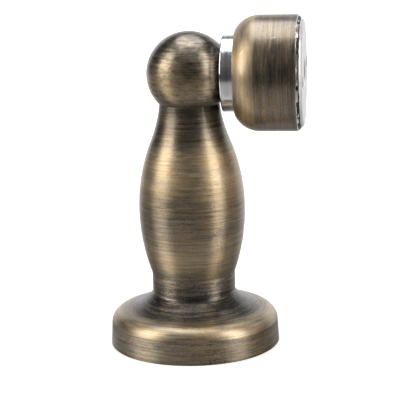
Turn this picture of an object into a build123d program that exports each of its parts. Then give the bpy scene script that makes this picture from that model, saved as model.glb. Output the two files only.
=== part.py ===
from build123d import *
import os
from math import sqrt

# Magnetic door stop. The stand is screwed to the floor and carries a magnet in its ball head.
# The catch half goes on the door: a sprung steel plunger in a round cup, held by the magnet.
# Millimetres, +Z up, origin at the centre of the foot's underside. The catch lies along +X.

# Stand casting, outside, from the floor up
foot_radius = 24.6
foot_lean = 0.36
foot_wall_height = 6.7
foot_edge_chamfer = 0.3
shoulder_break = 5.0
shoulder_width = 3.6
shoulder_height = 3.63
flare_height = 4.92
waist_radius = 12.0
waist_height = 5.75
waist_fillet = 1.4
belly_radius = 15.28
belly_rise = 19.0
belly_fall = 19.8
throat_radius = 11.33
neck_radius = 8.6
neck_height = 10.4
ball_radius = 12.1
ball_flat_reach = 9.5
ball_flat_round = 0.5

# Stand casting, underside
rim_wall = 3.4
recess_depth = 5.5
recess_round = 0.8
boss_diameter = 18.8
stud_hole_depth = 20.0

# Floor plate and the screw that holds the casting to it
floor_plate_thickness = 2.5
floor_plate_gap = 0.6
floor_screw_count = 3
floor_screw_hole = 4.2
floor_screw_head = 7.8
stud_diameter = 6.0
stud_head_diameter = 10.4
stud_head_sink = 0.1
stud_top = 17.5
stud_socket_width = 4.0
stud_socket_depth = 1.6
nut_width = 10.0
nut_height = 2.5

# Magnet in the ball
pot_proud = 0.2
pot_diameter = 12.4
pot_depth = 7.0
pot_wall = 0.9
pot_floor = 1.2
magnet_sink = 0.2
magnet_screw_diameter = 3.0
magnet_screw_head = 5.6
magnet_screw_length = 11.0
magnet_screw_slot_width = 0.8
magnet_screw_slot_depth = 0.7

# Plunger
plunger_diameter = 21.8
plunger_nose = 3.7
plunger_round = 0.5
plunger_face_wall = 2.3
plunger_wall = 1.5
plunger_travel = 3.0
plunger_guide = 5.0
flange_lap = 2.3
flange_thickness = 1.5

# Cup
cup_diameter = 32.8
cup_length = 18.4
cup_face_diameter = 24.8
cup_face_round = 0.9
cup_crown = 6.9
cup_bevel = 0.7
cup_mouth_chamfer = 0.25
chamber_step = 0.5

# Door plate
door_plate_diameter = 30.8
door_plate_thickness = 2.5
door_plate_proud = 1.0
door_plate_round = 1.1
collar_wall = 1.2
door_screw_circle = 19.0
door_screw_count = 2
door_screw_hole = 3.8
door_screw_head = 6.2
door_screw_tilt = 10.0
dimple_diameter = 7.6
dimple_depth = 0.6

# Buffer spring
spring_boss_diameter = 7.8
spring_boss_height = 1.2
spring_wire = 1.1
spring_turns = 5.0

# Clearances
thread_clearance = 0.05
bore_clearance = 0.08
seat_clearance = 0.1
nut_clearance = 0.5
coil_clearance = 0.2
flange_clearance = 0.3
stop_clearance = 0.1

# Heights on the stand
shoulder_top = foot_wall_height + shoulder_height
waist_bottom = shoulder_top + flare_height
waist_top = waist_bottom + waist_height
belly_z = waist_top + belly_rise
throat_z = belly_z + belly_fall
neck_z = throat_z + neck_height
ball_z = neck_z + sqrt(ball_radius**2 - neck_radius**2)
ball_top = ball_z + ball_radius

# Places along the catch, measured from the stand's axis
meeting_face = ball_flat_reach + pot_proud
cup_front = meeting_face + plunger_nose
cup_shoulder = cup_front + plunger_guide
flange_back = cup_shoulder + flange_thickness
collar_front = flange_back + plunger_travel + stop_clearance
cup_back = cup_front + cup_length
door_plate_back = cup_back + door_plate_proud
door_plate_front = door_plate_back - door_plate_thickness
spring_front = meeting_face + plunger_face_wall

# Radii on the catch
plunger_radius = plunger_diameter / 2
flange_radius = plunger_radius + flange_lap
plunger_bore = plunger_radius + bore_clearance
chamber_radius = flange_radius + flange_clearance
thread_radius = chamber_radius + chamber_step
collar_radius = thread_radius - seat_clearance
collar_inside = collar_radius - collar_wall
cup_radius = cup_diameter / 2
door_plate_radius = door_plate_diameter / 2
seat_radius = door_plate_radius + seat_clearance
spring_boss_radius = spring_boss_diameter / 2

# The catch's axis, a plane across it at the stand's axis and a plane along it
catch_axis = Axis((0, 0, ball_z), (1, 0, 0))
across = Plane(origin=(0, 0, ball_z), x_dir=(0, 1, 0), z_dir=(1, 0, 0))
along = Plane(origin=(0, 0, ball_z), x_dir=(1, 0, 0), z_dir=(0, -1, 0))

os.makedirs("parts", exist_ok=True)


def save(piece, name):
    piece.part.label = name
    export_step(piece.part, f"parts/{name}.step")


# Stand casting: foot, waist, belly, neck and ball turned in one outline
recess_radius = foot_radius - rim_wall
nut_room = nut_width / sqrt(3) + nut_clearance
pot_bottom = meeting_face - pot_depth

with BuildPart() as stand_body:
    with BuildSketch(Plane.XZ):
        with BuildLine():
            base = Line((0, 0), (foot_radius, 0))
            wall = Line(base @ 1, (foot_radius - foot_lean, foot_wall_height))
            shoulder_end = (foot_radius - foot_lean - shoulder_width, shoulder_top)
            shoulder_start = (wall % 1).rotate(Axis.Z, shoulder_break)
            shoulder = TangentArc(wall @ 1, shoulder_end, tangent=shoulder_start)
            flare = TangentArc(shoulder @ 1, (waist_radius, waist_bottom), tangent=shoulder % 1)
            Line(flare @ 1, (waist_radius, waist_top))
            TangentArc((belly_radius, belly_z), (waist_radius, waist_top), tangent=(0, -1))
            belly = TangentArc((belly_radius, belly_z), (throat_radius, throat_z), tangent=(0, 1))
            neck = TangentArc(belly @ 1, (neck_radius, neck_z), tangent=belly % 1)
            ball = ThreePointArc(neck @ 1, (ball_radius, ball_z), (0, ball_top))
            Line(ball @ 1, base @ 0)
        make_face()
    revolve(axis=Axis.Z)
    waist_edges = stand_body.edges().filter_by(GeomType.CIRCLE)
    fillet(waist_edges.filter_by_position(Axis.Z, waist_bottom - 0.01, waist_bottom + 0.01), waist_fillet)
    foot_edges = stand_body.edges().filter_by(GeomType.CIRCLE).group_by(Axis.Z)[0]
    chamfer(foot_edges, foot_edge_chamfer)

    # Flat on the ball, with the magnet's bore and the tapped hole behind it
    with BuildSketch(across.offset(ball_flat_reach)):
        Circle(ball_radius)
    extrude(amount=ball_radius, mode=Mode.SUBTRACT)
    flat_edge = stand_body.faces().sort_by(Axis.X)[-1].edges()
    fillet(flat_edge, ball_flat_round)
    with BuildSketch(across.offset(pot_bottom)):
        Circle(pot_diameter / 2 + seat_clearance)
    extrude(amount=ball_radius, mode=Mode.SUBTRACT)
    with BuildSketch(across.offset(meeting_face - magnet_screw_length - 1)):
        Circle(magnet_screw_diameter / 2 + thread_clearance)
    extrude(amount=ball_radius, mode=Mode.SUBTRACT)

    # Recess for the floor plate, round a boss that seats on the plate
    with BuildSketch():
        Circle(recess_radius)
    extrude(amount=recess_depth, mode=Mode.SUBTRACT)
    recess_edge = stand_body.edges().filter_by(GeomType.CIRCLE)
    recess_edge = recess_edge.filter_by_position(Axis.Z, recess_depth - 0.01, recess_depth + 0.01)
    fillet(recess_edge, recess_round)
    with BuildSketch(Plane.XY.offset(floor_plate_thickness)):
        Circle(boss_diameter / 2)
    extrude(amount=recess_depth - floor_plate_thickness)
    with BuildSketch(Plane.XY.offset(floor_plate_thickness)):
        Circle(nut_room)
    extrude(amount=nut_height + nut_clearance, mode=Mode.SUBTRACT)
    with BuildSketch(Plane.XY.offset(floor_plate_thickness)):
        Circle(stud_diameter / 2 + thread_clearance)
    extrude(amount=stud_hole_depth - floor_plate_thickness, mode=Mode.SUBTRACT)
save(stand_body, "stand_body")

# Floor plate: a steel disc with a countersunk hole for the stud, and countersunk screw holes
# midway between the casting's boss and the plate's edge
floor_plate_radius = recess_radius - floor_plate_gap
floor_screw_circle = floor_plate_radius + boss_diameter / 2

with BuildPart() as floor_plate:
    with BuildSketch():
        Circle(floor_plate_radius)
    extrude(amount=floor_plate_thickness)
    with Locations(Plane.XY.offset(floor_plate_thickness)):
        with PolarLocations(floor_screw_circle / 2, floor_screw_count, start_angle=90):
            CounterSinkHole(floor_screw_hole / 2, floor_screw_head / 2, counter_sink_angle=90)
    with Locations(Location((0, 0, 0), (180, 0, 0))):
        CounterSinkHole(
            stud_diameter / 2 + thread_clearance,
            stud_head_diameter / 2 + thread_clearance,
            counter_sink_angle=90,
        )
    chamfer(floor_plate.faces().sort_by(Axis.Z)[-1].outer_wire().edges(), foot_edge_chamfer)
save(floor_plate, "floor_plate")

# Stud: a countersunk socket screw put up through the floor plate
with BuildPart() as floor_stud:
    head_height = (stud_head_diameter - stud_diameter) / 2
    with BuildSketch(Plane.XZ):
        with BuildLine():
            Polyline(
                (0, stud_head_sink),
                (stud_head_diameter / 2 - stud_head_sink, stud_head_sink),
                (stud_diameter / 2, head_height),
                (stud_diameter / 2, stud_top),
                (0, stud_top),
                close=True,
            )
        make_face()
    revolve(axis=Axis.Z)
    with BuildSketch(Plane.XY.offset(stud_head_sink)):
        RegularPolygon(stud_socket_width / 2, 6, major_radius=False)
    extrude(amount=stud_socket_depth, mode=Mode.SUBTRACT)
    chamfer(floor_stud.faces().sort_by(Axis.Z)[-1].edges(), stud_diameter / 10)
save(floor_stud, "floor_stud")

# Thin nut that clamps the stud to the floor plate
with BuildPart() as stud_nut:
    with BuildSketch(Plane.XY.offset(floor_plate_thickness)):
        RegularPolygon(nut_width / 2, 6, major_radius=False)
        Circle(stud_diameter / 2 + thread_clearance, mode=Mode.SUBTRACT)
    extrude(amount=nut_height)
save(stud_nut, "stud_nut")

# Magnet pot: a steel cup seated in the ball's bore
with BuildPart() as magnet_pot:
    with BuildSketch(across.offset(pot_bottom)):
        Circle(pot_diameter / 2)
    extrude(amount=pot_depth)
    with BuildSketch(across.offset(pot_bottom + pot_floor)):
        Circle(pot_diameter / 2 - pot_wall)
    extrude(amount=pot_depth, mode=Mode.SUBTRACT)
    with BuildSketch(across.offset(pot_bottom)):
        Circle(magnet_screw_diameter / 2 + seat_clearance)
    extrude(amount=pot_depth, mode=Mode.SUBTRACT)
save(magnet_pot, "magnet_pot")

# Ring magnet in the pot, countersunk for its screw
magnet_front = meeting_face - magnet_sink
magnet_radius = pot_diameter / 2 - pot_wall - seat_clearance
magnet_hole = magnet_screw_diameter / 2 + seat_clearance
magnet_sink_radius = magnet_screw_head / 2 + seat_clearance

with BuildPart() as ring_magnet:
    with BuildSketch(along):
        with BuildLine():
            Polyline(
                (pot_bottom + pot_floor, magnet_hole),
                (pot_bottom + pot_floor, magnet_radius),
                (magnet_front, magnet_radius),
                (magnet_front, magnet_sink_radius),
                (magnet_front - magnet_sink_radius + magnet_hole, magnet_hole),
                close=True,
            )
        make_face()
    revolve(axis=catch_axis)
save(ring_magnet, "ring_magnet")

# Countersunk slotted screw through the magnet and the pot into the ball
with BuildPart() as magnet_screw:
    screw_radius = magnet_screw_diameter / 2
    head_radius = magnet_screw_head / 2
    with BuildSketch(along):
        with BuildLine():
            Polyline(
                (magnet_front, 0),
                (magnet_front, head_radius),
                (magnet_front - head_radius + screw_radius, screw_radius),
                (magnet_front - magnet_screw_length, screw_radius),
                (magnet_front - magnet_screw_length, 0),
                close=True,
            )
        make_face()
    revolve(axis=catch_axis)
    with BuildSketch(across.offset(magnet_front - magnet_screw_slot_depth)):
        Rectangle(magnet_screw_head * 2, magnet_screw_slot_width)
    extrude(amount=magnet_screw_slot_depth, mode=Mode.SUBTRACT)
save(magnet_screw, "magnet_screw")

# Plunger: a turned steel cup, closed at the front, with a flange that keeps it in the cup
with BuildPart() as strike_plunger:
    with BuildSketch(along):
        with BuildLine():
            Polyline(
                (meeting_face, 0),
                (meeting_face, plunger_radius),
                (cup_shoulder, plunger_radius),
                (cup_shoulder, flange_radius),
                (flange_back, flange_radius),
                (flange_back, plunger_radius - plunger_wall),
                (spring_front, plunger_radius - plunger_wall),
                (spring_front, spring_boss_radius),
                (spring_front + spring_boss_height, spring_boss_radius),
                (spring_front + spring_boss_height, 0),
                close=True,
            )
        make_face()
    revolve(axis=catch_axis)
    fillet(strike_plunger.faces().sort_by(Axis.X)[0].edges(), plunger_round)
save(strike_plunger, "strike_plunger")

# Cup: crowned shell, bored for the plunger in front and threaded for the door plate behind
with BuildPart() as catch_cup:
    with BuildSketch(along):
        with BuildLine():
            crown_end = (cup_front, cup_face_diameter / 2)
            crown = TangentArc((cup_front + cup_crown, cup_radius), crown_end, tangent=(-1, 0))
            Polyline(
                crown @ 1,
                (cup_front, plunger_bore),
                (cup_shoulder, plunger_bore),
                (cup_shoulder, chamber_radius),
                (collar_front - chamber_step, chamber_radius),
                (collar_front - chamber_step, thread_radius),
                (door_plate_front, thread_radius),
                (door_plate_front, seat_radius),
                (cup_back, seat_radius),
                (cup_back, cup_radius - cup_bevel),
                (cup_back - cup_bevel, cup_radius),
                crown @ 0,
            )
        make_face()
    revolve(axis=catch_axis)
    fillet(catch_cup.faces().sort_by(Axis.X)[0].outer_wire().edges(), cup_face_round)
    chamfer(catch_cup.faces().sort_by(Axis.X)[0].inner_wires().edges(), cup_mouth_chamfer)
save(catch_cup, "catch_cup")

# Door plate: a disc that is screwed to the door, with a threaded collar that holds the cup
with BuildPart() as door_plate:
    with BuildSketch(across.offset(door_plate_front)):
        Circle(door_plate_radius)
    extrude(amount=door_plate_thickness)
    with BuildSketch(across.offset(collar_front)):
        Circle(collar_radius)
        Circle(collar_inside, mode=Mode.SUBTRACT)
    extrude(amount=door_plate_front - collar_front)
    with BuildSketch(across.offset(door_plate_front - spring_boss_height)):
        Circle(spring_boss_radius)
    extrude(amount=spring_boss_height)
    fillet(door_plate.faces().sort_by(Axis.X)[-1].edges(), door_plate_round)
    with BuildSketch(across.offset(door_plate_back - dimple_depth)):
        Circle(dimple_diameter / 2)
    extrude(amount=dimple_depth, mode=Mode.SUBTRACT)
    front_of_plate = Plane(
        origin=(door_plate_front, 0, ball_z), x_dir=(0, 1, 0), z_dir=(-1, 0, 0)
    )
    with Locations(front_of_plate):
        with PolarLocations(door_screw_circle / 2, door_screw_count, start_angle=-door_screw_tilt):
            CounterSinkHole(door_screw_hole / 2, door_screw_head / 2, counter_sink_angle=90)
save(door_plate, "door_plate")

# Buffer spring between the plunger's face and the door plate, round the two bosses
# Its ends are ground flat where they seat
with BuildPart() as buffer_spring:
    coil_radius = spring_boss_radius + coil_clearance + spring_wire / 2
    spring_length = door_plate_front - spring_front
    coil_length = spring_length - spring_wire / 2
    coil_start = (spring_front + spring_wire / 4, 0, ball_z)
    with BuildLine():
        coil = Helix(coil_length / spring_turns, coil_length, coil_radius, coil_start, (1, 0, 0))
    with BuildSketch(Plane(origin=coil @ 0, z_dir=coil % 0)):
        Circle(spring_wire / 2)
    sweep(path=coil, is_frenet=True)
    with BuildSketch(across.offset(spring_front)):
        Circle(coil_radius + spring_wire)
    extrude(amount=spring_length, mode=Mode.INTERSECT)
save(buffer_spring, "buffer_spring")
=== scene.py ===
import bpy
import math
from mathutils import Matrix, Vector


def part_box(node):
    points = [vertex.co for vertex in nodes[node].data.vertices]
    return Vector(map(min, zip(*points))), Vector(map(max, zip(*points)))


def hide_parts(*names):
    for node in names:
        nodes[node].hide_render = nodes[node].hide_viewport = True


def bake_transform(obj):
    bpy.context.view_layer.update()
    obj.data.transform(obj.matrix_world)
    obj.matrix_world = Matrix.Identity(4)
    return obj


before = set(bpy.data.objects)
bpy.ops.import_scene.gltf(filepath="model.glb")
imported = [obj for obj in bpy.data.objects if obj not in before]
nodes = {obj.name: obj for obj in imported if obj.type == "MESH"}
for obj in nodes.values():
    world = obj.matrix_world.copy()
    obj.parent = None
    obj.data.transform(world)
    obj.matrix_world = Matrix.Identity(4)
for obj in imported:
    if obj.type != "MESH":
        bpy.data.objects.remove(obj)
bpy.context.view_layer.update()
print("frame loaded:", len(nodes), "pieces")


# Shader maths written as expressions

class Sock:  # one output socket, which adds a Math node for each sum it is used in
    def __init__(self, paint, out):
        self.paint, self.out = paint, out

    def maths(self, operation, *values):
        return self.paint.node("ShaderNodeMath", {"operation": operation}, dict(enumerate(values)))

    def __add__(self, other):
        return self.maths("ADD", self, other)

    def __sub__(self, other):
        return self.maths("SUBTRACT", self, other)

    def __rsub__(self, other):
        return self.maths("SUBTRACT", other, self)

    def __mul__(self, other):
        return self.maths("MULTIPLY", self, other)

    def __truediv__(self, other):
        return self.maths("DIVIDE", self, other)

    def __pow__(self, other):
        return self.maths("POWER", self, other)

    __radd__ = __add__


class Paint:  # a node tree under construction, of a material or of the world
    def __init__(self, name, owner=None):
        self.owner = owner or bpy.data.materials.new(name)
        self.owner.use_nodes = True
        self.tree = self.owner.node_tree
        self.tree.nodes.clear()

    def node(self, kind, settings=None, sockets=None, out=0):
        made = self.tree.nodes.new(kind)
        for key, value in (settings or {}).items():
            if key == "stops":
                setStops(made.color_ramp, value)
            else:
                setattr(made, key, value)
        for key, value in (sockets or {}).items():
            if isinstance(value, Sock):
                self.tree.links.new(value.out, made.inputs[key])
            else:
                made.inputs[key].default_value = value
        return Sock(self, made.outputs[out]) if made.outputs else None


def setStops(ramp, stops):  # stops: (place, colour) pairs
    while len(ramp.elements) < len(stops):
        ramp.elements.new(0.5)
    for element, (place, colour) in zip(ramp.elements, stops):
        element.position, element.color = place, colour


def rgba(colour):
    return (colour[0], colour[1], colour[2], 1.0)


def grade(paint, value, start, end):  # 0 below start, 1 above end, smooth between
    settings = {"interpolation_type": "SMOOTHSTEP"}
    return paint.node("ShaderNodeMapRange", settings, {"Value": value, "From Min": start, "From Max": end})


def edge(paint, value, place, blur):
    return grade(paint, value, place - blur, place + blur)


def mixed(paint, factor, colourA, colourB):
    settings = {"data_type": "RGBA", "blend_type": "MIX"}
    sides = {"Factor": factor, 6: colourA, 7: colourB}
    return paint.node("ShaderNodeMix", settings, sides, out=2)


def noise(paint, vector, scale=1.0, detail=2.0, roughness=0.5):
    sockets = {"Vector": vector, "Scale": scale, "Detail": detail, "Roughness": roughness}
    return paint.node("ShaderNodeTexNoise", {}, sockets)


def ramp(paint, value, tones):
    return paint.node("ShaderNodeValToRGB", {"stops": [(at, rgba(c)) for at, c in tones]}, {"Fac": value})


# Camera, at the photograph's angle

camera = {
    "place": (0.0559, -0.4189, 0.1356),
    "yaw": 7.287,  # turned to the left of +Y, degrees
    "pitch": 12.493,  # down
    "roll": -1.418,
    "lens": 135.0,
    "sensor": 36.0,
    "clip": (0.01, 20.0),
}


def makeCamera(c):
    data = bpy.data.cameras.new("camera")
    data.lens, data.sensor_width = c["lens"], c["sensor"]
    data.clip_start, data.clip_end = c["clip"]
    made = bpy.data.objects.new("camera", data)
    bpy.context.scene.collection.objects.link(made)
    turn = Matrix.Rotation(math.radians(c["yaw"]), 4, "Z")
    tilt = Matrix.Rotation(math.radians(90 - c["pitch"]), 4, "X")
    roll = Matrix.Rotation(math.radians(c["roll"]), 4, "Z")
    made.matrix_world = Matrix.Translation(c["place"]) @ turn @ tilt @ roll
    bpy.context.scene.camera = made


makeCamera(camera)
print("camera placed")


# Lights. Azimuths are measured from -Y towards +X, in degrees.

white = (1.0, 1.0, 1.0)
warmWhite = (1.0, 0.95, 0.87)
lights = {
    "distance": 0.9,
    "panels": {  # upright softboxes, from one height to another
        "leftPanel": {
            "azimuth": -66, "width": 0.54, "heights": (0.11, 1.35), "radiance": 4.5, "colour": warmWhite,
        },
        "rightPanel": {
            "azimuth": 67, "width": 0.38, "heights": (0.06, 1.35), "radiance": 5.4, "colour": warmWhite,
        },
        "sideCard": {
            "azimuth": 111, "width": 0.38, "heights": (0.41, 0.64), "radiance": 1.4, "colour": white,
        },
    },
    "overhead": {
        "aim": (0.0, 0.0, 0.055), "lean": 12, "size": (0.71, 0.80), "radiance": 3.5,  # leans back, degrees
    },
}


def makeSoftbox(name, place, facing, size, radiance, colour):
    data = bpy.data.lights.new(name, "AREA")
    data.shape = "RECTANGLE"
    data.size, data.size_y = size
    data.energy = radiance * math.pi * size[0] * size[1]
    data.color = colour
    made = bpy.data.objects.new(name, data)
    bpy.context.scene.collection.objects.link(made)
    made.location = place
    made.rotation_euler = facing.to_track_quat("Z", "Y").to_euler()
    made.visible_camera = False


def makeLights(l):
    for name, panel in l["panels"].items():
        around = math.radians(panel["azimuth"])
        outward = Vector((math.sin(around), -math.cos(around), 0))
        low, high = panel["heights"]
        place = outward * l["distance"] + Vector((0, 0, (low + high) / 2))
        size = (panel["width"], high - low)
        makeSoftbox(name, place, outward, size, panel["radiance"], panel["colour"])
    above = l["overhead"]
    lean = math.radians(above["lean"])
    outward = Vector((0, math.sin(lean), math.cos(lean)))
    place = Vector(above["aim"]) + outward * l["distance"]
    makeSoftbox("overhead", place, outward, above["size"], above["radiance"], white)


# World, seen only in reflections: a dark room with a white backdrop. Edges are parts of a unit vector.

room = {
    "horizon": (0.062, 0.062, 0.064),
    "high": (0.155, 0.155, 0.155),  # high up in front and behind
    "highEdge": (0.05, 0.95),
    "highSides": (0.06, 0.30),  # of the sideways part squared
    "warm": {  # a brown strip low at the right
        "colour": (0.46, 0.16, 0.0),
        "from": (0.02, 0.14),
        "to": (0.36, 0.50),
        "right": (0.2, 0.6),
        "top": (0.10, 0.30),
    },
    "backdrop": (1.0, 1.0, 1.01),
    "backdropTurn": 0.05,  # how much further the backdrop reaches on the right than on the left
    "backdropEdge": (0.51, 0.82),
    "backdropTop": (0.42, 0.58),
}


def makeWorld(r):
    world = bpy.data.worlds.new("studio")
    bpy.context.scene.world = world
    paint = Paint("studio", world)
    direction = paint.node("ShaderNodeTexCoord", {}, {}, "Generated")
    x, y, z = [paint.node("ShaderNodeSeparateXYZ", {}, {0: direction}, i) for i in (0, 1, 2)]
    high = grade(paint, z, *r["highEdge"]) * (1 - grade(paint, x * x, *r["highSides"]))
    colour = mixed(paint, high, rgba(r["horizon"]), rgba(r["high"]))
    warm = r["warm"]
    side = grade(paint, y, *warm["from"]) * (1 - grade(paint, y, *warm["to"]))
    side = side * grade(paint, x, *warm["right"]) * (1 - grade(paint, z, *warm["top"]))
    colour = mixed(paint, side, colour, rgba(warm["colour"]))
    behind = grade(paint, y + x * r["backdropTurn"], *r["backdropEdge"])
    low = 1 - grade(paint, z, *r["backdropTop"])
    colour = mixed(paint, behind * low, colour, rgba(r["backdrop"]))
    seen = paint.node("ShaderNodeLightPath", {}, {}, "Is Camera Ray")
    colour = mixed(paint, seen, colour, rgba(white))
    background = paint.node("ShaderNodeBackground", {}, {"Color": colour, "Strength": 1.0})
    paint.node("ShaderNodeOutputWorld", {}, {"Surface": background})


# Floor: white with a shadow for the camera, and a table of several greys in reflections

floor = {
    "reach": 3.0,
    "white": 0.56,
    "glow": (0.60, 1.3),  # lifts the white near the object and far off
    "glowReach": (0.1, 0.6),
}
table = {
    "near": (0.80, 0.80, 0.80),
    "middle": (0.58, 0.58, 0.59),
    "shaded": (0.26, 0.26, 0.26),  # close behind and under the catch
    "beyond": (0.10, 0.10, 0.10),
    "nearEdge": (0.035, 0.06),
    "shadedBack": (-0.01, 0.012),
    "shadedReach": (0.05, 0.10),
    "underCatch": (0.030, -0.004, 0.0),
    "underReach": (0.016, 0.042),
    "farEdge": (0.17, 0.32),
    "mirror": 0.46,
    "roughness": 0.25,
    "behind": (0.06, 0.30),
    "behindGlow": 0.42,
}


def makeFloor(f, t):
    reach = f["reach"]
    corners = [(-reach, -reach, 0), (reach, -reach, 0), (reach, reach, 0), (-reach, reach, 0)]
    mesh = bpy.data.meshes.new("floor")
    mesh.from_pydata(corners, [], [(0, 1, 2, 3)])
    made = bpy.data.objects.new("floor", mesh)
    bpy.context.scene.collection.objects.link(made)
    paint = Paint("floorWhite")
    place = paint.node("ShaderNodeTexCoord", {}, {}, "Object")
    away = paint.node("ShaderNodeVectorMath", {"operation": "LENGTH"}, {0: place}, "Value")
    back = paint.node("ShaderNodeSeparateXYZ", {}, {0: place}, 1)

    matt = paint.node("ShaderNodeBsdfDiffuse", {}, {"Color": rgba([f["white"]] * 3)})
    nearGlow, farGlow = f["glow"]
    strength = nearGlow + grade(paint, away, *f["glowReach"]) * (farGlow - nearGlow)
    glow = paint.node("ShaderNodeEmission", {}, {"Color": rgba(white), "Strength": strength})
    lifted = paint.node("ShaderNodeAddShader", {}, {0: matt, 1: glow})

    behind = grade(paint, back, *t["behind"])
    off = grade(paint, away, *t["farEdge"]) * (1 - behind)
    tint = mixed(paint, grade(paint, away, *t["nearEdge"]), rgba(t["near"]), rgba(t["middle"]))
    shaded = grade(paint, back, *t["shadedBack"]) * (1 - grade(paint, away, *t["shadedReach"]))
    sockets = {0: place, 1: t["underCatch"]}
    under = paint.node("ShaderNodeVectorMath", {"operation": "DISTANCE"}, sockets, "Value")
    shaded = shaded.maths("MAXIMUM", shaded, 1 - grade(paint, under, *t["underReach"]))
    tint = mixed(paint, shaded, tint, rgba(t["shaded"]))
    tint = mixed(paint, off, tint, rgba(t["beyond"]))
    sockets = {"Base Color": tint, "Metallic": t["mirror"], "Roughness": t["roughness"]}
    sockets["Emission Color"] = mixed(paint, behind, (0, 0, 0, 1), rgba(white))
    sockets["Emission Strength"] = t["behindGlow"]
    glossy = paint.node("ShaderNodeBsdfPrincipled", {}, sockets)

    seen = paint.node("ShaderNodeLightPath", {}, {}, "Is Camera Ray")
    surface = paint.node("ShaderNodeMixShader", {}, {0: seen, 1: glossy, 2: lifted})
    paint.node("ShaderNodeOutputMaterial", {}, {"Surface": surface})
    mesh.materials.append(paint.owner)


bpy.context.scene.view_settings.view_transform = "Standard"
makeWorld(room)
makeFloor(floor, table)
makeLights(lights)
print("studio lit")


# What every metal here is painted with

bareMetal = {"colour": (0.88, 0.87, 0.86), "roughness": 0.15}
# Painted shade and painted dark reflection, laid over the cup's bare end and the plate's rim
paintedShadeAndReflection = {"colour": (0.030, 0.028, 0.026), "roughness": 0.6}
markRoughness = 0.6  # of the noise that turned and brushed marks come from


def alongAxis(paint, axis, centreZ):  # the place, how far along the axis it is, and the two directions across
    place = paint.node("ShaderNodeTexCoord", {}, {}, "Object")
    x, y, z = [paint.node("ShaderNodeSeparateXYZ", {}, {0: place}, i) for i in (0, 1, 2)]
    return (place, z, x, y) if axis == "Z" else (place, x, y, z - centreZ)


def stretched(paint, course, acrossA, acrossB, layer):  # noise drawn out round the axis
    perMetre, alongPerMetre, detail = layer
    sockets = {"X": course * perMetre, "Y": acrossA * alongPerMetre, "Z": acrossB * alongPerMetre}
    vector = paint.node("ShaderNodeCombineXYZ", {}, sockets)
    return noise(paint, vector, 1.0, detail, markRoughness)


def covered(paint, mask, shade, roughness, cover):  # colour and roughness, with a cover where the mask is 1
    shade = mixed(paint, mask, shade, rgba(cover["colour"]))
    return shade, roughness * (1 - mask) + mask * cover["roughness"]


def wear(piece, material):
    nodes[piece].data.materials.clear()
    nodes[piece].data.materials.append(material)


# Brushed antique bronze, on the stand and the cup

cupLow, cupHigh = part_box("catch_cup")
catchAxisZ = (cupLow.z + cupHigh.z) / 2

bronze = {
    "golden": [  # patina first, then to the palest rubbed metal
        (0.0, (0.064, 0.049, 0.033)),
        (0.2, (0.163, 0.125, 0.078)),
        (0.4, (0.275, 0.207, 0.119)),
        (0.6, (0.395, 0.297, 0.168)),
        (0.8, (0.510, 0.388, 0.226)),
        (1.0, (0.690, 0.540, 0.340)),
    ],
    "layers": {  # brush marks: lines per metre across the brushing, then along it, and the noise's detail
        "hairs": (2500.0, 50.0, 2.0),
        "strokes": (1700.0, 170.0, 3.0),
        "grain": (3400.0, 2300.0, 2.0),
        "bands": (330.0, 32.0, 2.0),
        "hues": (520.0, 90.0, 3.0),
        "flecks": (2100.0, 800.0, 1.0),
    },
    "clouds": (120.0, 4.0, 0.65),  # scale, detail and roughness
    "cloudTone": 0.3,
    "warmths": {"hues": 1.7, "clouds": 1.3},
    "roughnesses": {"strokes": 0.4, "clouds": 0.2},
    "strokeHeight": 1.5,
    "fleckEdge": (0.60, 0.68),
    "patches": 110.0,  # where the flecks lie
    "patchEdge": (0.50, 0.62),
    "scratches": {"scale": 32.0, "thin": 0.000004, "patches": 253.0, "patchEdge": (0.70, 0.74), "tone": 0.35},
    "worn": {"scale": 900.0, "detail": 3.0, "depth": 0.0004, "blur": 0.00004},  # the edge of the bare metal
    "paintedDark": {"depth": 0.0003, "blur": 0.00003},  # the edge of the painted shade in the mouth
    "bevelReflections": {"scale": 205.0, "edge": (0.50, 0.53), "from": 0.00010, "full": 0.00018},  # painted dark reflections on the bevel
    "lacquer": 0.4,
    "lacquerRoughness": 0.2,
    "lean": 0.6,  # how much a place's distance from the axis counts beside its place along it
    "bump": 0.3,
    "bumpDistance": 0.00008,
}
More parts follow.
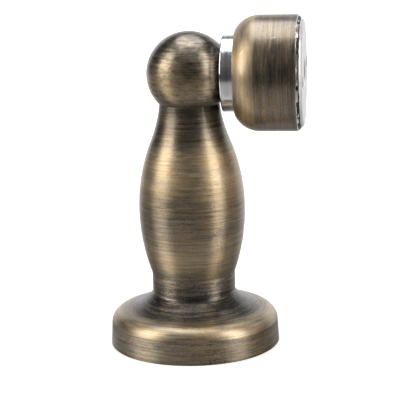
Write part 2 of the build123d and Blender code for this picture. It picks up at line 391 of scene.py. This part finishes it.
standBronze = {
    "axis": "Z",
    "centreZ": 0.0,
    "cool": [
        (0.0, (0.054, 0.050, 0.045)),
        (0.2, (0.140, 0.124, 0.103)),
        (0.4, (0.236, 0.204, 0.162)),
        (0.6, (0.342, 0.293, 0.229)),
        (0.8, (0.448, 0.392, 0.318)),
        (1.0, (0.615, 0.552, 0.470)),
    ],
    "marks": {"hairs": 1.6, "strokes": 1.5, "grain": 1.3, "bands": 0.45},
    "flecks": 0.22,
    "ball": {
        "from": (0.0708, 0.0740),
        "blotches": (1000.0, 420.0, 3.0),
        "blotchTone": 0.95,
        "flatShadeFrom": (0.0086, 0.0098),  # painted shade: a dark ring round the flat, where the plunger shades the ball
        "ringTone": 0.50,
    },
    "brushing": 0.5,
    "brushingTurn": 0.25,
    "finish": [  # height in metres, tone, strength of the brush marks, warmth, roughness
        # Rows 0.0068 to 0.0099, the foot's shoulder, are lighter where its highlight falls: painted
        # highlight. Rows 0.0106 to 0.0162, where the waist meets the foot, and 0.0672 to 0.0704, the neck
        # crease, are darker: patina and painted shade.
        (0.0000, 0.24, 0.40, 0.20, 0.46), (0.0007, 0.30, 0.46, 0.24, 0.46), (0.0011, 0.41, 0.50, 0.28, 0.46),
        (0.0063, 0.40, 0.54, 0.24, 0.46), (0.0066, 0.30, 0.54, 0.20, 0.46), (0.0068, 0.60, 0.40, 0.50, 0.42),
        (0.0099, 0.86, 0.42, 0.60, 0.42), (0.0106, 0.34, 0.66, 0.34, 0.40), (0.0112, 0.06, 0.76, 0.10, 0.40),
        (0.0140, 0.02, 0.76, 0.00, 0.40), (0.0162, 0.07, 0.74, 0.00, 0.36), (0.0200, 0.31, 0.58, 0.08, 0.50),
        (0.0212, 0.33, 0.56, 0.18, 0.50), (0.0235, 0.43, 0.44, 0.54, 0.43), (0.0275, 0.60, 0.42, 0.74, 0.41),
        (0.0335, 0.40, 0.42, 0.46, 0.37), (0.0420, 0.41, 0.42, 0.46, 0.38), (0.0485, 0.68, 0.40, 0.62, 0.46),
        (0.0570, 0.68, 0.38, 0.60, 0.46), (0.0605, 0.38, 0.40, 0.40, 0.37), (0.0650, 0.22, 0.42, 0.34, 0.42),
        (0.0672, 0.18, 0.42, 0.34, 0.44), (0.0692, 0.12, 0.36, 0.36, 0.54), (0.0704, 0.10, 0.30, 0.40, 0.60),
        (0.0722, 0.30, 0.36, 0.64, 0.36), (0.0765, 0.48, 0.34, 0.66, 0.38), (0.0830, 0.33, 0.34, 0.20, 0.37),
        (0.0872, 0.29, 0.34, 0.00, 0.34), (0.0908, 0.24, 0.36, 0.00, 0.34),
    ],
}
cupBronze = {
    "axis": "X",
    "centreZ": catchAxisZ,
    "cool": [
        (0.0, (0.055, 0.049, 0.045)),
        (0.2, (0.141, 0.122, 0.104)),
        (0.4, (0.238, 0.202, 0.165)),
        (0.6, (0.346, 0.290, 0.235)),
        (0.8, (0.458, 0.384, 0.318)),
        (1.0, (0.630, 0.538, 0.462)),
    ],
    "marks": {"hairs": 1.6, "strokes": 1.0, "grain": 1.3, "bands": 0.45},
    "flecks": 0.12,
    "brushing": 0.3,
    "brushingTurn": 0.0,
    "bareFrom": cupHigh.x - 0.0007,
    "mouth": 0.0158,  # inside this radius the bare end gets painted shade, where it meets the plate
    "finish": [  # place along the catch in metres, then the same
        (0.0134, 0.75, 0.26, 0.66, 0.45), (0.0160, 0.73, 0.28, 0.72, 0.46), (0.0180, 0.61, 0.28, 0.66, 0.47),
        (0.0194, 0.58, 0.30, 0.50, 0.46), (0.0198, 0.39, 0.36, 0.34, 0.37), (0.0250, 0.35, 0.36, 0.28, 0.35),
        (0.0292, 0.32, 0.36, 0.18, 0.35), (0.0306, 0.24, 0.38, 0.08, 0.37), (0.0318, 0.24, 0.40, 0.00, 0.40),
    ],
}


def finishAlong(paint, length, rows):  # tone, strength, warmth and roughness
    start, end = rows[0][0], rows[-1][0]
    span = paint.node("ShaderNodeMapRange", {}, {"Value": length, "From Min": start, "From Max": end})
    settings = {"stops": [((row[0] - start) / (end - start), row[1:]) for row in rows]}
    shade = paint.node("ShaderNodeValToRGB", settings, {"Fac": span})
    roughness = paint.node("ShaderNodeValToRGB", settings, {"Fac": span}, "Alpha")
    return [paint.node("ShaderNodeSeparateColor", {}, {0: shade}, i) for i in (0, 1, 2)] + [roughness]


def brushedBronze(name, look):
    b = bronze
    paint = Paint(name)
    place, length, acrossA, acrossB = alongAxis(paint, look["axis"], look["centreZ"])
    radius = (acrossA * acrossA + acrossB * acrossB) ** 0.5
    course = length - radius * b["lean"]
    tone, strength, warmth, roughness = finishAlong(paint, length, look["finish"])
    layers = {key: stretched(paint, course, acrossA, acrossB, layer) for key, layer in b["layers"].items()}
    layers["clouds"] = noise(paint, place, *b["clouds"])

    def swing(depths):  # some layers added up, each round zero and times its depth
        return sum((layers[key] - 0.5) * depth for key, depth in depths.items())

    tone = tone + swing(look["marks"]) * strength + swing({"clouds": b["cloudTone"]})
    patches = grade(paint, noise(paint, place, b["patches"]), *b["patchEdge"])
    flecks = grade(paint, layers["flecks"], *b["fleckEdge"]) * patches * look["flecks"]
    if "ball" in look:
        ball = look["ball"]
        onBall = grade(paint, length, *ball["from"])
        blotches = stretched(paint, course, acrossA, acrossB, ball["blotches"]) - 0.5
        tone = tone + blotches * onBall * ball["blotchTone"]
        # Painted shade: darker round the flat, where the plunger shades the ball
        tone = tone - onBall * grade(paint, acrossA, *ball["flatShadeFrom"]) * ball["ringTone"]
        flecks = flecks * (1 + onBall * ball["blotchTone"])
    s = b["scratches"]
    line = noise(paint, place, s["scale"], 0.0) - 0.5
    line = 1 - grade(paint, line * line, 0.0, s["thin"])
    line = line * grade(paint, noise(paint, place, s["patches"], 0.0), *s["patchEdge"])
    tone = tone - flecks + line * s["tone"]

    warm = warmth + swing(b["warmths"])
    shade = mixed(paint, warm, ramp(paint, tone, look["cool"]), ramp(paint, tone, b["golden"]))
    roughness = roughness + swing(b["roughnesses"])
    height = layers["hairs"] + layers["strokes"] * b["strokeHeight"]
    if "bareFrom" in look:
        worn = b["worn"]
        ragged = length + (noise(paint, place, worn["scale"], worn["detail"]) - 0.5) * worn["depth"]
        bare = edge(paint, ragged, look["bareFrom"], worn["blur"])
        shade, roughness = covered(paint, bare, shade, roughness, bareMetal)
        height = height * (1 - bare)
        # Painted shade inside the mouth, where the cup meets the plate, and painted dark reflections in
        # broken pieces on the bevel
        inward = radius + (layers["clouds"] - 0.5) * b["paintedDark"]["depth"]
        paintedDark = bare * (1 - edge(paint, inward, look["mouth"], b["paintedDark"]["blur"]))
        bevelReflections = b["bevelReflections"]
        start, full = look["bareFrom"] + bevelReflections["from"], look["bareFrom"] + bevelReflections["full"]
        # Painted dark reflections: broken pieces over the bevel
        pieces = grade(paint, noise(paint, place, bevelReflections["scale"]), *bevelReflections["edge"])
        pieces = pieces * grade(paint, ragged, start, full)
        paintedDark = paintedDark.maths("MAXIMUM", paintedDark, pieces)
        shade, roughness = covered(paint, paintedDark, shade, roughness, paintedShadeAndReflection)
    sockets = {"Strength": b["bump"], "Distance": b["bumpDistance"], "Height": height}
    bump = paint.node("ShaderNodeBump", {}, sockets)
    sockets = {
        "Base Color": shade,
        "Metallic": 1.0,
        "Roughness": roughness,
        "Normal": bump,
        "Anisotropic": look["brushing"],
        "Anisotropic Rotation": look["brushingTurn"],
        "Coat Weight": b["lacquer"],
        "Coat Roughness": b["lacquerRoughness"],
    }
    surface = paint.node("ShaderNodeBsdfPrincipled", {}, sockets)
    paint.node("ShaderNodeOutputMaterial", {}, {"Surface": surface})
    return paint.owner


wear("stand_body", brushedBronze("standBronze", standBronze))
wear("catch_cup", brushedBronze("cupBronze", cupBronze))
print("bronze painted")


# Plated steel: turned marks round each piece's axis, uneven plating, threads, and painted shade on the
# plate's rim behind the cup

steel = {
    "tone": 0.55,
    "lean": 0.8,
    "cloudDetail": (4.0, 0.6),  # detail and roughness
    "roughnesses": {"clouds": 0.25, "turned": 0.2, "specks": 0.15, "rings": 0.3},
    "heights": {"clouds": 0.3, "turned": 0.5},
    "speckScale": 1400.0,
    "speckEdge": (0.68, 0.76),
    "speckTone": 0.25,
    "bumpDistance": 0.00005,
    "seam": {"scale": 500.0, "detail": 3.0, "depth": 0.0006, "alongBlur": 0.00008, "acrossBlur": 0.0002},
    "threadEnds": 0.0002,
    "threadSides": 0.0001,
    "threadHeight": 6.0,
    "threadTone": 0.3,
    "threadRoughness": 0.08,
}
satinPlate = {
    "axis": "X", "pale": (0.87, 0.87, 0.90), "dull": (0.60, 0.60, 0.65), "roughness": 0.18, "bump": 0.05,
    "turned": (3600.0, 40.0, 2.0), "marks": 0.6, "clouds": 260.0, "uneven": 0.5, "specks": 0.0,
    "rings": (760.0, 22.0, 2.0), "ringTone": 1.0,
}
brightPlate = {
    "axis": "X", "pale": (0.82, 0.82, 0.83), "dull": (0.70, 0.70, 0.71), "roughness": 0.44, "bump": 0.28,
    "turned": (2400.0, 60.0, 2.0), "marks": 1.2, "clouds": 200.0, "uneven": 0.3, "specks": 0.3,
    "rings": (640.0, 18.0, 2.0), "ringTone": 1.2,
    "seam": (0.03195, 0.0148),  # painted shade up to this place along the catch, outside this radius, where the plate meets the cup
    "thread": (0.001, 0.0230, 0.0301, 0.0120, 0.0141),  # pitch, start, end, inner and outer radius
}
potNickel = {
    "axis": "X", "pale": (0.76, 0.74, 0.70), "dull": (0.50, 0.48, 0.45), "roughness": 0.20, "bump": 0.15,
    "turned": (3800.0, 50.0, 2.0), "marks": 1.0, "clouds": 240.0, "uneven": 0.6, "specks": 0.7,
}
magnetNickel = {
    "axis": "X", "pale": (0.62, 0.61, 0.60), "dull": (0.36, 0.35, 0.35), "roughness": 0.30, "bump": 0.25,
    "turned": (1500.0, 900.0, 2.0), "marks": 0.8, "clouds": 420.0, "uneven": 0.9, "specks": 1.0,
}
screwZinc = {
    "axis": "X", "pale": (0.70, 0.72, 0.76), "dull": (0.42, 0.43, 0.46), "roughness": 0.28, "bump": 0.5,
    "turned": (3000.0, 120.0, 2.0), "marks": 0.9, "clouds": 500.0, "uneven": 0.7, "specks": 1.0,
    "thread": (0.0005, -0.0020, 0.0079, 0.0012, 0.0016),
}
plateZinc = {
    "axis": "Z", "pale": (0.68, 0.70, 0.74), "dull": (0.40, 0.42, 0.45), "roughness": 0.34, "bump": 0.2,
    "turned": (900.0, 420.0, 2.0), "marks": 0.7, "clouds": 180.0, "uneven": 1.0, "specks": 1.0,
}
studZinc = {
    "axis": "Z", "pale": (0.66, 0.67, 0.70), "dull": (0.38, 0.39, 0.41), "roughness": 0.30, "bump": 0.6,
    "turned": (2600.0, 150.0, 2.0), "marks": 0.8, "clouds": 450.0, "uneven": 0.7, "specks": 1.0,
    "thread": (0.001, 0.0024, 0.0169, 0.0024, 0.0031),
}
nutZinc = {
    "axis": "Z", "pale": (0.70, 0.71, 0.74), "dull": (0.42, 0.43, 0.46), "roughness": 0.30, "bump": 0.3,
    "turned": (2200.0, 200.0, 2.0), "marks": 0.8, "clouds": 420.0, "uneven": 0.8, "specks": 1.0,
}
springWire = {
    "axis": "X", "pale": (0.56, 0.56, 0.57), "dull": (0.28, 0.27, 0.27), "roughness": 0.32, "bump": 0.25,
    "turned": (4000.0, 160.0, 2.0), "marks": 1.2, "clouds": 600.0, "uneven": 0.8, "specks": 0.6,
}
steels = {
    "strike_plunger": satinPlate,
    "door_plate": brightPlate,
    "magnet_pot": potNickel,
    "ring_magnet": magnetNickel,
    "magnet_screw": screwZinc,
    "floor_plate": plateZinc,
    "floor_stud": studZinc,
    "stud_nut": nutZinc,
    "buffer_spring": springWire,
}


def screwThread(paint, length, acrossA, acrossB, pitch):  # 0 in the groove to 1 on the crest
    turn = acrossA.maths("ARCTAN2", acrossA, acrossB) / (2 * math.pi)
    along = length / pitch + turn
    return along.maths("PINGPONG", along, 0.5) * 2


def platedSteel(name, look):
    s = steel
    paint = Paint(name)
    centre = catchAxisZ if look["axis"] == "X" else 0.0
    place, length, acrossA, acrossB = alongAxis(paint, look["axis"], centre)
    radius = (acrossA * acrossA + acrossB * acrossB) ** 0.5
    course = length - radius * s["lean"]
    turned = stretched(paint, course, acrossA, acrossB, look["turned"]) - 0.5
    clouds = noise(paint, place, look["clouds"], *s["cloudDetail"]) - 0.5
    specks = grade(paint, noise(paint, place, s["speckScale"]), *s["speckEdge"]) * look["specks"]
    tone = s["tone"] + turned * look["marks"] + clouds * look["uneven"] - specks * s["speckTone"]
    by = s["roughnesses"]
    roughness = look["roughness"] + clouds * by["clouds"] + turned * by["turned"] + specks * by["specks"]
    height = turned * s["heights"]["turned"] + clouds * s["heights"]["clouds"]
    if "rings" in look:
        rings = stretched(paint, course, acrossA, acrossB, look["rings"]) - 0.5
        tone = tone + rings * look["ringTone"]
        roughness = roughness + rings * by["rings"]
    if "thread" in look:
        pitch, start, end, inner, outer = look["thread"]
        ends, sides = s["threadEnds"], s["threadSides"]
        within = grade(paint, length, start, start + ends) * (1 - grade(paint, length, end - ends, end))
        within = within * grade(paint, radius, inner, inner + sides)
        within = within * (1 - grade(paint, radius, outer, outer + sides))
        cut = (1 - screwThread(paint, length, acrossA, acrossB, pitch)) * within
        height = height - cut * s["threadHeight"]
        tone = tone - cut * s["threadTone"]
        roughness = roughness + within * s["threadRoughness"]
    shade = mixed(paint, tone, rgba(look["dull"]), rgba(look["pale"]))
    # Painted shade on the plate's rim, in the groove behind the cup
    if "seam" in look:
        seam = s["seam"]
        end, inner = look["seam"]
        ragged = length + (noise(paint, place, seam["scale"], seam["detail"]) - 0.5) * seam["depth"]
        paintedDark = 1 - grade(paint, ragged, end, end + seam["alongBlur"])
        paintedDark = paintedDark * grade(paint, radius, inner, inner + seam["acrossBlur"])
        shade, roughness = covered(paint, paintedDark, shade, roughness, paintedShadeAndReflection)
    sockets = {"Strength": look["bump"], "Distance": s["bumpDistance"], "Height": height}
    bump = paint.node("ShaderNodeBump", {}, sockets)
    sockets = {"Base Color": shade, "Metallic": 1.0, "Roughness": roughness, "Normal": bump}
    surface = paint.node("ShaderNodeBsdfPrincipled", {}, sockets)
    paint.node("ShaderNodeOutputMaterial", {}, {"Surface": surface})
    return paint.owner


for piece, look in steels.items():
    wear(piece, platedSteel(piece + "Steel", look))
print("steel painted")


# The buffer spring between the plunger and the door plate, as a copy of the frame's piece

spring = {"from": "buffer_spring", "front": "plunger", "back": "catch", "slot": "spring_steel"}


def makeSpring(s):
    made = bpy.data.objects.new("squeezedSpring", nodes[s["from"]].data.copy())
    bpy.context.scene.collection.objects.link(made)
    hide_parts(s["from"])
    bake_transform(made)


makeSpring(spring)
print("spring fitted")
